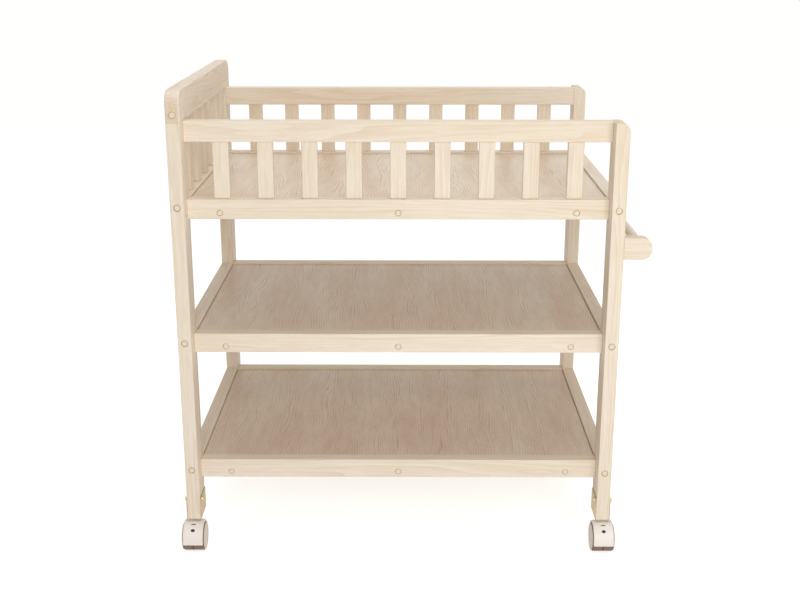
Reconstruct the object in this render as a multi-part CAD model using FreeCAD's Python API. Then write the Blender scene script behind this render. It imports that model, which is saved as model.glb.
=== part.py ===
# A changing dresser: an open pine frame with three shelves, slatted guards round the top
# shelf, a header board on the left end, a towel rail on the right end and four braked
# twin-wheel casters. Millimetres. X runs left to right, Y from front to rear, Z up from
# the floor. While modelling, X = 0 and Y = 0 lie in the middle between the posts; the
# export then moves the origin to the middle of the whole footprint, at floor level.
import FreeCAD, Part
import math
import os

V = FreeCAD.Vector
X_AXIS = V(1, 0, 0)
Y_AXIS = V(0, 1, 0)
Z_AXIS = V(0, 0, 1)

# ---------------------------------------------------------------- frame
FRAME_WIDTH = 900.0             # over the posts, left to right
FRAME_DEPTH = 660.0             # over the posts, front to rear
POST_THICKNESS = 28.0           # in X
POST_DEPTH = 60.0               # in Y
POST_TOP = 915.0                # above the floor
POST_SHOULDER_RADIUS = 16.0     # outer top corner of the right posts
EDGE_RADIUS = 1.5               # softened edges of posts and rails
RAIL_THICKNESS = 28.0
RAIL_HEIGHT = 40.5
LOWER_SHELF_TOP = 193.5         # top of the lowest rails
SHELF_PITCH = 282.5
SHELF_LEVELS = ("lower", "middle", "upper")

# ---------------------------------------------------------------- guards and header
GUARD_RAIL_HEIGHT = 41.0
GUARD_RAIL_DROP = 0.5           # below the top of the posts
SLAT_WIDTH = 32.0
SLAT_THICKNESS = 14.0
SLAT_EDGE_RADIUS = 2.0
LONG_SLAT_COUNT = 9
LONG_SLAT_PITCH = 88.0
END_SLAT_COUNT = 5
TENON_WIDTH = 22.0
TENON_THICKNESS = 8.0
TENON_LENGTH = 10.0
TENON_CLEARANCE = 0.1           # on each side, and twice that at the end
HEADER_HEIGHT = 63.0
HEADER_CORNER_RADIUS = 30.0
HEADER_EDGE_RADIUS = 3.0

# ---------------------------------------------------------------- shelves
PANEL_THICKNESS = 10.0
PANEL_RECESS = 4.5              # below the top of the rails
PANEL_GAP = 1.5                 # to the rails, all round
BATTEN_WIDTH = 28.0
BATTENS_PER_SHELF = 3

# ---------------------------------------------------------------- towel rail
ARM_LENGTH = 56.0
ARM_HEIGHT = 44.0
ARM_THICKNESS = 28.0
ARM_CENTRE_HEIGHT = 665.5
ARM_CORNER_RADIUS = 19.0
TOWEL_BAR_RADIUS = 9.5
TOWEL_BAR_REACH = 37.5          # from the post's outer face to the bar's axis
TOWEL_BAR_SOCKET = 12.0
TOWEL_BAR_CLEARANCE = 0.1

# ---------------------------------------------------------------- knock-down fasteners
BOLT_RADIUS = 3.0
BOLT_CLEARANCE = 0.25
BOLT_HEAD_RADIUS = 6.5
BOLT_HEAD_THICKNESS = 2.5
CAP_POCKET_RADIUS = 7.0         # counterbore that takes the bolt head and its cap
CAP_POCKET_DEPTH = 4.8
CAP_RADIUS = 5.8
CAP_PROUD = 0.5                 # cap face beyond the wood
CAP_BEVEL = 0.6
BOLT_REACH = 48.0               # beyond the post, into the rail
NUT_INSET = 35.0                # barrel nut's axis from the end of the rail
NUT_RADIUS = 5.0
NUT_LENGTH = 16.0
NUT_CLEARANCE = 0.1
LONG_BOLT_DROP = 30.0           # bolt into a long rail, below the rail's top
LEFT_BOLT_DROP = 11.0           # bolt into a left side rail, below the rail's top
RIGHT_BOLT_DROP = 16.0
DOWEL_RADIUS = 4.0
DOWEL_IN_POST = 9.0
DOWEL_IN_RAIL = 20.0
DOWEL_CLEARANCE = 0.1
LONG_DOWEL_DROP = 12.0
SIDE_DOWEL_DROP = 30.0
ARM_DOWEL_SPREAD = 24.0
CAM_HEIGHT = 15.0               # cam fitting's axis above the header's underside
CAM_RADIUS = 6.8
CAM_LENGTH = 10.0
STUD_RADIUS = 3.0
STUD_IN_POST = 25.0
SCREW_RADIUS = 2.5
SCREW_LENGTH = 60.0
SCREW_HEAD_RADIUS = 4.5
SCREW_HEAD_THICKNESS = 2.5
SCREW_CLEARANCE = 0.1
SCREW_TO_BOLT = 17.0            # outer screws' axis from the end of the rail's bolt
PLUG_RADIUS = 5.6
PLUG_LENGTH = 6.0
PLUG_GAP = 0.7                  # ring round a plug

# ---------------------------------------------------------------- caster bracket
BRACKET_GAUGE = 1.5
BRACKET_HEIGHT = 47.0           # up the sides of the leg
BRACKET_CORNER_RADIUS = 1.5
BRACKET_BOLT_HEIGHT = 40.0      # above the foot of the leg
BRACKET_BOLT_FORWARD = 14.0     # in front of the leg's middle
BRACKET_BOLT_HEAD_RADIUS = 6.0
BRACKET_BOLT_HEAD_RIM = 0.9
BRACKET_BOLT_HEAD_HEIGHT = 4.5
BRACKET_NUT_SIDES = 6
BRACKET_NUT_ACROSS_CORNERS = 11.0
BRACKET_NUT_HEIGHT = 5.0
KINGPIN_RADIUS = 4.0
KINGPIN_FLANGE_RADIUS = 9.0
KINGPIN_END_ABOVE_BOSS = 0.6
RIVET_HEAD_RADIUS = 5.5
RIVET_HEAD_HEIGHT = 2.2
RIVET_RECESS_CLEARANCE = 0.5
CLIP_RADIUS = 5.5
CLIP_GAUGE = 1.0
CLIP_GROOVE_DEPTH = 0.6

# ---------------------------------------------------------------- caster
CASTER_HEIGHT = 70.0            # floor to the foot of the leg
WHEEL_RADIUS = 30.0
CASTER_TRAIL = 30.0             # axle in front of the kingpin
WHEEL_HALF_WIDTH = 24.5         # axle's middle to the outer face of a wheel
WHEEL_INNER_FACE = 1.1          # axle's middle to the inner rim of a wheel
DISC_RADIUS = 28.6
DISC_CROWN = 0.8                # of the disc's outer face, middle to edge
DISC_FLAT_RADIUS = 20.0         # where the face starts to fall away
DISC_FLAT_DROP = 0.2
DISC_THICKNESS = 2.4
DISC_LIP = 0.6                  # straight part of the disc's edge
TREAD_THICKNESS = 4.0
TREAD_SHOULDER = 20.5           # where the tread's flat ends and its chamfer starts
TREAD_CHAMFER_RISE = 1.8
TREAD_DISC_GAP = 0.4            # ring between the chamfer's foot and the disc's edge
RIM_THICKNESS = 2.4
HUB_RADIUS = 6.5
AXLE_RADIUS = 2.5
AXLE_CLEARANCE = 0.05
AXLE_BOSS_RADIUS = 7.5
AXLE_BOSS_HALF_WIDTH = 4.0
WEB_HALF_THICKNESS = 0.8
WEB_ANGLES = (95, 110, 125, 140, 155, 170)      # corners under the arch, from straight ahead
SIDE_PLAY = 0.4                 # between a wheel and the axle boss
HOOD_HALF_WIDTH = 21.2
HOOD_TOP_GAP = 5.0              # kingpin tower's top below the foot of the leg
HOOD_SKIRT_HEIGHT = 33.0        # lower edge of the arch at the rear, above the floor
HOOD_EDGE_RADIUS = 2.0
HOOD_WHEEL_CLEARANCE = 0.8
ARCH_THICKNESS = 4.7
TOWER_RADIUS = 10.0
TOWER_FOOT = 36.0               # above the floor
BOSS_LENGTH = 14.0
SWIVEL_CLEARANCE = 0.05
SWIVEL_PLAY = 0.3               # between the roof and the kingpin's flange
CLIP_POCKET_RADIUS = 6.2
CLIP_POCKET_DEPTH = 3.0
CLIP_POCKET_FOOT = 40.0         # above the floor

# ---------------------------------------------------------------- brake pedal
BRAKE_GAP = 0.3                 # pedal to tread when the brake is on
PEDAL_THICKNESS = 4.0
PEDAL_FOOT_ANGLE = -8.0         # lower edge, degrees above the axle's level
PEDAL_LIP_REACH = 1.2           # how far the toe lip flares outward
PEDAL_LIP_START_ANGLE = 6.0
HINGE_BEHIND_AXLE = 2.8
HINGE_RADIUS = 1.0
HINGE_CLEARANCE = 0.05
KNUCKLE_RADIUS = 2.1
KNUCKLE_TREAD_GAP = 0.45
KNUCKLE_SLOT_GAP = 0.5
CENTRE_KNUCKLE_HALF_WIDTH = 6.0
KNUCKLE_SIDE_PLAY = 0.3
HINGE_PIN_HALF_LENGTH = 20.0

# ---------------------------------------------------------------- derived places
POST_X = FRAME_WIDTH / 2 - POST_THICKNESS / 2
POST_Y = FRAME_DEPTH / 2 - POST_DEPTH / 2
INNER_X = FRAME_WIDTH / 2 - POST_THICKNESS
INNER_Y = FRAME_DEPTH / 2 - POST_DEPTH
RAIL_Y = INNER_Y + RAIL_THICKNESS / 2
RAIL_FACE_Y = INNER_Y + RAIL_THICKNESS
SIDE_RAIL_X = FRAME_WIDTH / 2 - RAIL_THICKNESS / 2
LEG_FOOT = CASTER_HEIGHT
SHELF_TOPS = {name: LOWER_SHELF_TOP + i * SHELF_PITCH for i, name in enumerate(SHELF_LEVELS)}
UPPER_TOP = SHELF_TOPS["upper"]
BATTEN_HEIGHT = RAIL_HEIGHT - PANEL_RECESS - PANEL_THICKNESS
BATTEN_DROP = PANEL_RECESS + PANEL_THICKNESS + BATTEN_HEIGHT / 2
OUTER_BATTEN_X = INNER_X - BOLT_REACH - SCREW_TO_BOLT
GUARD_TOP = POST_TOP - GUARD_RAIL_DROP
GUARD_BOTTOM = GUARD_TOP - GUARD_RAIL_HEIGHT
ARM_Y = FRAME_DEPTH / 2 - ARM_THICKNESS / 2
AXLE_Z = WHEEL_RADIUS
HOOD_TOP = LEG_FOOT - HOOD_TOP_GAP
HOOD_RADIUS = WHEEL_RADIUS + HOOD_WHEEL_CLEARANCE
ARCH_RADIUS = HOOD_RADIUS + ARCH_THICKNESS
DISC_EDGE = WHEEL_HALF_WIDTH - DISC_CROWN
DISC_BACK = WHEEL_HALF_WIDTH - DISC_THICKNESS
PEDAL_INNER = WHEEL_RADIUS + BRAKE_GAP
PEDAL_OUTER = PEDAL_INNER + PEDAL_THICKNESS
HINGE_Y = -CASTER_TRAIL + HINGE_BEHIND_AXLE
HINGE_REACH = WHEEL_RADIUS + KNUCKLE_TREAD_GAP + KNUCKLE_RADIUS
HINGE_Z = AXLE_Z + math.sqrt(HINGE_REACH ** 2 - HINGE_BEHIND_AXLE ** 2)
BOSS_FOOT = HOOD_TOP - BOSS_LENGTH
PEDAL_TIP = PEDAL_OUTER + PEDAL_LIP_REACH
LEFT_REACH = max(FRAME_WIDTH / 2 + CAP_PROUD, POST_X + WHEEL_HALF_WIDTH)
RIGHT_REACH = FRAME_WIDTH / 2 + ARM_LENGTH
FRONT_REACH = POST_Y + CASTER_TRAIL + PEDAL_TIP * math.cos(math.radians(PEDAL_FOOT_ANGLE))
REAR_REACH = FRAME_DEPTH / 2 + CAP_PROUD
ORIGIN = V((RIGHT_REACH - LEFT_REACH) / 2, (REAR_REACH - FRONT_REACH) / 2, 0)
ENDS = {"left": -1, "right": 1}
SIDES = {"front": -1, "rear": 1}
CORNERS = [(side, end) for side in SIDES for end in ENDS]


# ---------------------------------------------------------------- helpers
def block(centre, size):
    """Box given by its centre and its three sizes."""
    corner = V(centre[0] - size[0] / 2, centre[1] - size[1] / 2, centre[2] - size[2] / 2)
    return Part.makeBox(size[0], size[1], size[2], corner)


def rod(start, direction, radius, length):
    """Cylinder from a point along a direction."""
    return Part.makeCylinder(radius, length, V(*start), direction)


def rounded_block(centre, size, radius):
    """Box with every edge rounded."""
    shape = block(centre, size)
    return shape.makeFillet(radius, shape.Edges)


def turned(profile):
    """Solid of revolution about Z of a closed outline of (radius, height) points."""
    points = [V(radius, 0, height) for radius, height in profile]
    face = Part.Face(Part.makePolygon(points + points[:1]))
    return face.revolve(V(0, 0, 0), Z_AXIS, 360)


def aimed(shape, start, direction):
    """Turn a shape made along +Z to another direction and put its origin at a point."""
    copy = shape.copy()
    copy.Placement = FreeCAD.Placement(V(*start), FreeCAD.Rotation(Z_AXIS, direction))
    return copy


def save(node, solids):
    """Write one sub-part, moved to the export origin."""
    shape = solids[0] if len(solids) == 1 else Part.makeCompound(solids)
    shape = shape.copy()
    shape.translate(-ORIGIN)
    shape.exportStep("parts/" + node + ".step")


# ---------------------------------------------------------------- joints between posts and rails
def rail_joints():
    """Every bolted end joint: (post corner, bolt start on the post, direction, rail, clear span)."""
    joints = []
    for side, end in CORNERS:
        x_out = ENDS[end]
        y_out = SIDES[side]
        long_y = y_out * RAIL_Y
        side_drop = LEFT_BOLT_DROP if end == "left" else RIGHT_BOLT_DROP
        for level in SHELF_LEVELS:
            top = SHELF_TOPS[level]
            joints.append({
                "post": (side, end), "rail": side + "_rail_" + level, "span": POST_THICKNESS,
                "start": (x_out * FRAME_WIDTH / 2, long_y, top - LONG_BOLT_DROP),
                "direction": X_AXIS * -x_out, "nut_direction": Z_AXIS,
                "dowel": (x_out * INNER_X, long_y, top - LONG_DOWEL_DROP)})
            joints.append({
                "post": (side, end), "rail": "side_rails_" + end, "span": POST_DEPTH,
                "start": (x_out * POST_X, y_out * FRAME_DEPTH / 2, top - side_drop),
                "direction": Y_AXIS * -y_out, "nut_direction": X_AXIS * x_out,
                "dowel": (x_out * SIDE_RAIL_X, y_out * INNER_Y, top - SIDE_DOWEL_DROP)})
        middle = GUARD_TOP - GUARD_RAIL_HEIGHT / 2
        joints.append({
            "post": (side, end), "rail": side + "_guard_rail", "span": POST_THICKNESS,
            "start": (x_out * FRAME_WIDTH / 2, long_y, middle),
            "direction": X_AXIS * -x_out, "nut_direction": Z_AXIS,
            "dowel": None})
    return joints


JOINTS = rail_joints()


def bolt_cutter(joint):
    """Counterbore and clearance hole of a bolt, through the post and into the rail."""
    pocket = rod(joint["start"], joint["direction"], CAP_POCKET_RADIUS, CAP_POCKET_DEPTH)
    length = joint["span"] + BOLT_REACH + BOLT_CLEARANCE
    return pocket.fuse(rod(joint["start"], joint["direction"], BOLT_RADIUS + BOLT_CLEARANCE, length))


def bolt(joint):
    """Connector bolt with a flat round head, seated in its counterbore."""
    head_top = CAP_POCKET_DEPTH - BOLT_HEAD_THICKNESS
    profile = [(0, head_top), (BOLT_HEAD_RADIUS, head_top), (BOLT_HEAD_RADIUS, CAP_POCKET_DEPTH),
               (BOLT_RADIUS, CAP_POCKET_DEPTH), (BOLT_RADIUS, joint["span"] + BOLT_REACH),
               (0, joint["span"] + BOLT_REACH)]
    return aimed(turned(profile), joint["start"], joint["direction"])


def button(start, direction, radius, bottom):
    """Round cover that stands a little proud of the wood, with a bevelled rim."""
    profile = [(0, -CAP_PROUD), (radius - CAP_BEVEL, -CAP_PROUD), (radius, CAP_BEVEL - CAP_PROUD),
               (radius, bottom), (0, bottom)]
    return aimed(turned(profile), start, direction)


def cap(start, direction):
    """Cover cap that sits on a bolt head."""
    return button(start, direction, CAP_RADIUS, CAP_POCKET_DEPTH - BOLT_HEAD_THICKNESS)


def nut_place(joint):
    """Point where the barrel nut's axis meets the bolt's axis."""
    return V(*joint["start"]) + joint["direction"] * (joint["span"] + NUT_INSET)


def barrel_nut(joint):
    """Cross nut with the bolt passing through its middle."""
    place = nut_place(joint)
    start = place - joint["nut_direction"] * (NUT_LENGTH / 2)
    nut = rod(start, joint["nut_direction"], NUT_RADIUS, NUT_LENGTH)
    across = rod(place - joint["direction"] * NUT_RADIUS * 2, joint["direction"],
                 BOLT_RADIUS + NUT_CLEARANCE, NUT_RADIUS * 4)
    return nut.cut(across)


def nut_cutter(joint):
    """Blind hole for the barrel nut, open on the rail's underside or inner face."""
    place = nut_place(joint)
    depth = NUT_LENGTH / 2 + NUT_CLEARANCE
    start = place + joint["nut_direction"] * depth
    outside = RAIL_HEIGHT + depth
    return rod(start, -joint["nut_direction"], NUT_RADIUS + NUT_CLEARANCE, outside)


def dowel_axis(joint):
    """Start point of a dowel inside its post."""
    return V(*joint["dowel"]) - joint["direction"] * DOWEL_IN_POST


def dowel(joint):
    return rod(dowel_axis(joint), joint["direction"], DOWEL_RADIUS, DOWEL_IN_POST + DOWEL_IN_RAIL)


def dowel_cutter(joint):
    start = dowel_axis(joint) - joint["direction"] * DOWEL_CLEARANCE
    length = DOWEL_IN_POST + DOWEL_IN_RAIL + 2 * DOWEL_CLEARANCE
    return rod(start, joint["direction"], DOWEL_RADIUS + DOWEL_CLEARANCE, length)


def joint_cutters(key, name):
    """All holes that the bolted joints leave in one post or rail."""
    cutters = []
    for joint in JOINTS:
        if joint[key] != name:
            continue
        cutters.append(bolt_cutter(joint))
        if key == "rail":
            cutters.append(nut_cutter(joint))
        if joint["dowel"]:
            cutters.append(dowel_cutter(joint))
    return cutters


# ---------------------------------------------------------------- posts
def header_dowel(side):
    """Upright dowel that locates the header board on a left post."""
    start = (-POST_X, SIDES[side] * RAIL_Y, POST_TOP - DOWEL_IN_POST)
    return rod(start, Z_AXIS, DOWEL_RADIUS, DOWEL_IN_POST + DOWEL_IN_RAIL)


def header_dowel_cutter(side):
    start = (-POST_X, SIDES[side] * RAIL_Y, POST_TOP - DOWEL_IN_POST - DOWEL_CLEARANCE)
    length = DOWEL_IN_POST + DOWEL_IN_RAIL + 2 * DOWEL_CLEARANCE
    return rod(start, Z_AXIS, DOWEL_RADIUS + DOWEL_CLEARANCE, length)


def cam_y(side):
    """Middle of a cam fitting, counted along its own axis."""
    return SIDES[side] * (FRAME_DEPTH / 2 - CAP_POCKET_DEPTH + BOLT_HEAD_THICKNESS - CAM_LENGTH / 2)


def header_stud(side):
    """Stud screwed into the top of a left post and caught by the header's cam."""
    start = (-POST_X, cam_y(side), POST_TOP - STUD_IN_POST)
    return rod(start, Z_AXIS, STUD_RADIUS, STUD_IN_POST + CAM_HEIGHT)


def header_stud_cutter(side):
    start = (-POST_X, cam_y(side), POST_TOP - STUD_IN_POST - BOLT_CLEARANCE)
    length = STUD_IN_POST + CAM_HEIGHT + 2 * BOLT_CLEARANCE
    return rod(start, Z_AXIS, STUD_RADIUS + BOLT_CLEARANCE, length)


def arm_dowels(side, clearance):
    """Two dowels between a right post and its towel arm, or their holes."""
    dowels = []
    for offset in (-ARM_DOWEL_SPREAD / 2, ARM_DOWEL_SPREAD / 2):
        start = (INNER_X + POST_THICKNESS - DOWEL_IN_RAIL - clearance, SIDES[side] * ARM_Y,
                 ARM_CENTRE_HEIGHT + offset)
        length = 2 * (DOWEL_IN_RAIL + clearance)
        dowels.append(rod(start, X_AXIS, DOWEL_RADIUS + clearance, length))
    return dowels


def post(side, end):
    """One post: a leg with its joint holes and a seat for the caster's bracket."""
    x = ENDS[end] * POST_X
    y = SIDES[side] * POST_Y
    height = POST_TOP - LEG_FOOT
    shape = block((x, y, LEG_FOOT + height / 2), (POST_THICKNESS, POST_DEPTH, height))
    if end == "right":
        shoulder = [edge for edge in shape.Edges if edge.CenterOfMass.z > POST_TOP - EDGE_RADIUS
                    and edge.CenterOfMass.x > x + POST_THICKNESS / 2 - EDGE_RADIUS]
        shape = shape.makeFillet(POST_SHOULDER_RADIUS, shoulder)
    sharp = [edge for edge in shape.Edges if edge.BoundBox.ZMax > LEG_FOOT + EDGE_RADIUS
             and (end == "left" or edge.BoundBox.YLength < POST_DEPTH / 2
                  or edge.CenterOfMass.x < x)]
    shape = shape.makeFillet(EDGE_RADIUS, sharp)
    cutters = joint_cutters("post", (side, end))
    cutters.append(rod((x, y, LEG_FOOT), Z_AXIS, RIVET_HEAD_RADIUS + RIVET_RECESS_CLEARANCE,
                       RIVET_HEAD_HEIGHT + RIVET_RECESS_CLEARANCE))
    cutters.append(rod((x - POST_THICKNESS, y - BRACKET_BOLT_FORWARD, LEG_FOOT + BRACKET_BOLT_HEIGHT),
                       X_AXIS, BOLT_RADIUS + BOLT_CLEARANCE, POST_THICKNESS * 2))
    if end == "left":
        cutters.append(header_dowel_cutter(side))
        cutters.append(header_stud_cutter(side))
    else:
        cutters.extend(arm_dowels(side, DOWEL_CLEARANCE))
    return shape.cut(cutters)


# ---------------------------------------------------------------- slats
def long_slat_places():
    first = -(LONG_SLAT_COUNT - 1) / 2 * LONG_SLAT_PITCH
    return [first + i * LONG_SLAT_PITCH for i in range(LONG_SLAT_COUNT)]


def end_slat_places():
    """Centres of the end slats, with equal gaps between the left posts."""
    gap = (2 * INNER_Y - END_SLAT_COUNT * SLAT_WIDTH) / (END_SLAT_COUNT + 1)
    return [-INNER_Y + gap + SLAT_WIDTH / 2 + i * (gap + SLAT_WIDTH) for i in range(END_SLAT_COUNT)]


def slat(x, y, bottom, top, along_x):
    """Upright slat with softened edges and a stub tenon at each end."""
    middle = (bottom + top) / 2
    body = (SLAT_WIDTH, SLAT_THICKNESS) if along_x else (SLAT_THICKNESS, SLAT_WIDTH)
    tongue = (TENON_WIDTH, TENON_THICKNESS) if along_x else (TENON_THICKNESS, TENON_WIDTH)
    shape = rounded_block((x, y, middle), (body[0], body[1], top - bottom), SLAT_EDGE_RADIUS)
    tenons = block((x, y, middle), (tongue[0], tongue[1], top - bottom + 2 * TENON_LENGTH))
    return shape.fuse(tenons).removeSplitter()


def mortise(x, y, face, along_x):
    """Pocket for a slat's tenon, on both sides of the face it enters."""
    width = TENON_WIDTH + 2 * TENON_CLEARANCE
    thickness = TENON_THICKNESS + 2 * TENON_CLEARANCE
    depth = 2 * (TENON_LENGTH + 2 * TENON_CLEARANCE)
    return block((x, y, face), (width, thickness, depth) if along_x else (thickness, width, depth))


def long_slats(side):
    y = SIDES[side] * RAIL_Y
    return [slat(x, y, UPPER_TOP, GUARD_BOTTOM, True) for x in long_slat_places()]


def end_slats():
    return [slat(-POST_X, y, UPPER_TOP, POST_TOP, False) for y in end_slat_places()]


# ---------------------------------------------------------------- rails and header
def long_rail(node, side, top, height, mortise_face):
    """Rail between the two posts of one side, with mortises on one face where it has slats."""
    y = SIDES[side] * RAIL_Y
    size = (2 * INNER_X, RAIL_THICKNESS, height)
    shape = rounded_block((0, y, top - height / 2), size, EDGE_RADIUS)
    cutters = joint_cutters("rail", node)
    if mortise_face is not None:
        cutters.extend(mortise(x, y, mortise_face, True) for x in long_slat_places())
    if top in SHELF_TOPS.values():
        cutters.extend(screw_cutter(x, side, top) for x in batten_places())
    return shape.cut(cutters)


def side_rails(end):
    """The three short rails of one end, between its front and rear posts."""
    x = ENDS[end] * SIDE_RAIL_X
    cutters = joint_cutters("rail", "side_rails_" + end)
    rails = []
    for level in SHELF_LEVELS:
        top = SHELF_TOPS[level]
        size = (RAIL_THICKNESS, 2 * INNER_Y, RAIL_HEIGHT)
        rail = rounded_block((x, 0, top - RAIL_HEIGHT / 2), size, EDGE_RADIUS)
        if end == "left" and level == "upper":
            cutters.extend(mortise(-POST_X, y, top, False) for y in end_slat_places())
        rails.append(rail.cut(cutters))
    return rails


def header_board():
    """Board across the left posts with big top corners and rounded edges."""
    size = (POST_THICKNESS, FRAME_DEPTH, HEADER_HEIGHT)
    shape = block((-POST_X, 0, POST_TOP + HEADER_HEIGHT / 2), size)
    top_corners = [edge for edge in shape.Edges if edge.BoundBox.XLength > POST_THICKNESS / 2
                   and edge.CenterOfMass.z > POST_TOP + HEADER_HEIGHT / 2]
    shape = shape.makeFillet(HEADER_CORNER_RADIUS, top_corners)
    rim = [edge for edge in shape.Edges if edge.BoundBox.XLength < EDGE_RADIUS
           and edge.BoundBox.ZMax > POST_TOP + EDGE_RADIUS]
    shape = shape.makeFillet(HEADER_EDGE_RADIUS, rim)
    underside = [edge for edge in shape.Edges if edge.BoundBox.ZMax < POST_TOP + EDGE_RADIUS]
    shape = shape.makeFillet(EDGE_RADIUS, underside)
    cutters = [mortise(-POST_X, y, POST_TOP, False) for y in end_slat_places()]
    for side in SIDES:
        cutters.append(header_dowel_cutter(side))
        cutters.append(header_stud_cutter(side))
        cutters.append(cam_cutter(side))
    return shape.cut(cutters)


def cam_start(side):
    """Point on the header's end face where a cam fitting goes in."""
    return (-POST_X, SIDES[side] * FRAME_DEPTH / 2, POST_TOP + CAM_HEIGHT)


def cam_cutter(side):
    depth = CAP_POCKET_DEPTH - BOLT_HEAD_THICKNESS + CAM_LENGTH + NUT_CLEARANCE
    return rod(cam_start(side), Y_AXIS * -SIDES[side], CAP_POCKET_RADIUS, depth)


def cam(side):
    """Cam fitting under a cover cap, slotted for the stud that it pulls down."""
    inward = Y_AXIS * -SIDES[side]
    start = V(*cam_start(side)) + inward * (CAP_POCKET_DEPTH - BOLT_HEAD_THICKNESS)
    body = Part.makeCylinder(CAM_RADIUS, CAM_LENGTH, start, inward)
    return body.cut(header_stud_cutter(side))


# ---------------------------------------------------------------- shelves
def batten_places():
    """Evenly spread battens, the outer ones clear of the bolts in the rails' ends."""
    pitch = 2 * OUTER_BATTEN_X / (BATTENS_PER_SHELF - 1)
    return [-OUTER_BATTEN_X + i * pitch for i in range(BATTENS_PER_SHELF)]


def shelf_panel(level):
    top = SHELF_TOPS[level] - PANEL_RECESS
    size = (2 * (INNER_X - PANEL_GAP), 2 * (INNER_Y - PANEL_GAP), PANEL_THICKNESS)
    return block((0, 0, top - PANEL_THICKNESS / 2), size)


def shelf_battens():
    """Bearers under the shelf panels, from the front rail to the rear rail."""
    battens = []
    for level in SHELF_LEVELS:
        middle = SHELF_TOPS[level] - BATTEN_DROP
        for x in batten_places():
            batten = block((x, 0, middle), (BATTEN_WIDTH, 2 * INNER_Y, BATTEN_HEIGHT))
            pilots = [pilot_hole(x, side, SHELF_TOPS[level]) for side in SIDES]
            battens.append(batten.cut(pilots))
    return battens


def screw_start(x, side, top):
    return V(x, SIDES[side] * RAIL_FACE_Y, top - BATTEN_DROP)


def pilot_hole(x, side, top):
    start = screw_start(x, side, top)
    length = PLUG_LENGTH + SCREW_LENGTH + SCREW_CLEARANCE
    return rod(start, Y_AXIS * -SIDES[side], SCREW_RADIUS + SCREW_CLEARANCE, length)


def screw_cutter(x, side, top):
    """Plug hole and pilot hole of a shelf screw in a long rail."""
    pocket = rod(screw_start(x, side, top), Y_AXIS * -SIDES[side], PLUG_RADIUS + PLUG_GAP,
                 PLUG_LENGTH + SCREW_HEAD_THICKNESS)
    return pocket.fuse(pilot_hole(x, side, top))


def shelf_screw(x, side, top):
    shoulder = PLUG_LENGTH + SCREW_HEAD_THICKNESS
    profile = [(0, PLUG_LENGTH), (SCREW_HEAD_RADIUS, PLUG_LENGTH), (SCREW_HEAD_RADIUS, shoulder),
               (SCREW_RADIUS, shoulder), (SCREW_RADIUS, PLUG_LENGTH + SCREW_LENGTH),
               (0, PLUG_LENGTH + SCREW_LENGTH)]
    return aimed(turned(profile), screw_start(x, side, top), Y_AXIS * -SIDES[side])


def screw_plug(x, side, top):
    return button(screw_start(x, side, top), Y_AXIS * -SIDES[side], PLUG_RADIUS, PLUG_LENGTH)


SCREW_PLACES = [(x, side, SHELF_TOPS[level])
                for side in SIDES for level in SHELF_LEVELS for x in batten_places()]


# ---------------------------------------------------------------- towel rail
def towel_bar(clearance):
    """Round bar between the arms, or the sockets that take its ends."""
    half = FRAME_DEPTH / 2 - ARM_THICKNESS + TOWEL_BAR_SOCKET + clearance
    start = (FRAME_WIDTH / 2 + TOWEL_BAR_REACH, -half, ARM_CENTRE_HEIGHT)
    return rod(start, Y_AXIS, TOWEL_BAR_RADIUS + clearance, 2 * half)


def towel_arm(side):
    """Arm on the outer face of a right post, rounded at its free end."""
    x = FRAME_WIDTH / 2 + ARM_LENGTH / 2
    size = (ARM_LENGTH, ARM_THICKNESS, ARM_HEIGHT)
    shape = block((x, SIDES[side] * ARM_Y, ARM_CENTRE_HEIGHT), size)
    tip = [edge for edge in shape.Edges if edge.BoundBox.YLength > ARM_THICKNESS / 2
           and edge.CenterOfMass.x > x]
    shape = shape.makeFillet(ARM_CORNER_RADIUS, tip)
    rim = [edge for edge in shape.Edges if edge.BoundBox.YLength < EDGE_RADIUS
           and edge.CenterOfMass.x > FRAME_WIDTH / 2 + EDGE_RADIUS]
    shape = shape.makeFillet(EDGE_RADIUS, rim)
    return shape.cut([towel_bar(TOWEL_BAR_CLEARANCE)] + arm_dowels(side, DOWEL_CLEARANCE))


# ---------------------------------------------------------------- caster bracket and kingpin
def leg_place(side, end):
    return V(ENDS[end] * POST_X, SIDES[side] * POST_Y, 0)


def caster_bracket():
    """Steel strap under the foot of the leg, bent up both of its sides."""
    half = POST_THICKNESS / 2 + BRACKET_GAUGE
    height = BRACKET_HEIGHT + BRACKET_GAUGE
    outside = block((0, 0, LEG_FOOT - BRACKET_GAUGE + height / 2), (2 * half, POST_DEPTH, height))
    top = LEG_FOOT + BRACKET_HEIGHT
    corners = [edge for edge in outside.Edges if edge.BoundBox.XLength > half
               and edge.CenterOfMass.z > top - BRACKET_GAUGE]
    outside = outside.makeFillet(BRACKET_CORNER_RADIUS, corners)
    bends = [edge for edge in outside.Edges if edge.BoundBox.YLength > half
             and edge.CenterOfMass.z < LEG_FOOT]
    outside = outside.makeFillet(BRACKET_GAUGE, bends)
    inside = block((0, 0, LEG_FOOT + height / 2), (POST_THICKNESS, POST_DEPTH * 2, height))
    bolt_start = (-2 * half, -BRACKET_BOLT_FORWARD, LEG_FOOT + BRACKET_BOLT_HEIGHT)
    bolt_hole = rod(bolt_start, X_AXIS, BOLT_RADIUS + BOLT_CLEARANCE, 4 * half)
    pin_hole = rod((0, 0, LEG_FOOT - 2 * BRACKET_GAUGE), Z_AXIS, KINGPIN_RADIUS, 4 * BRACKET_GAUGE)
    return outside.cut([inside, bolt_hole, pin_hole])


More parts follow.
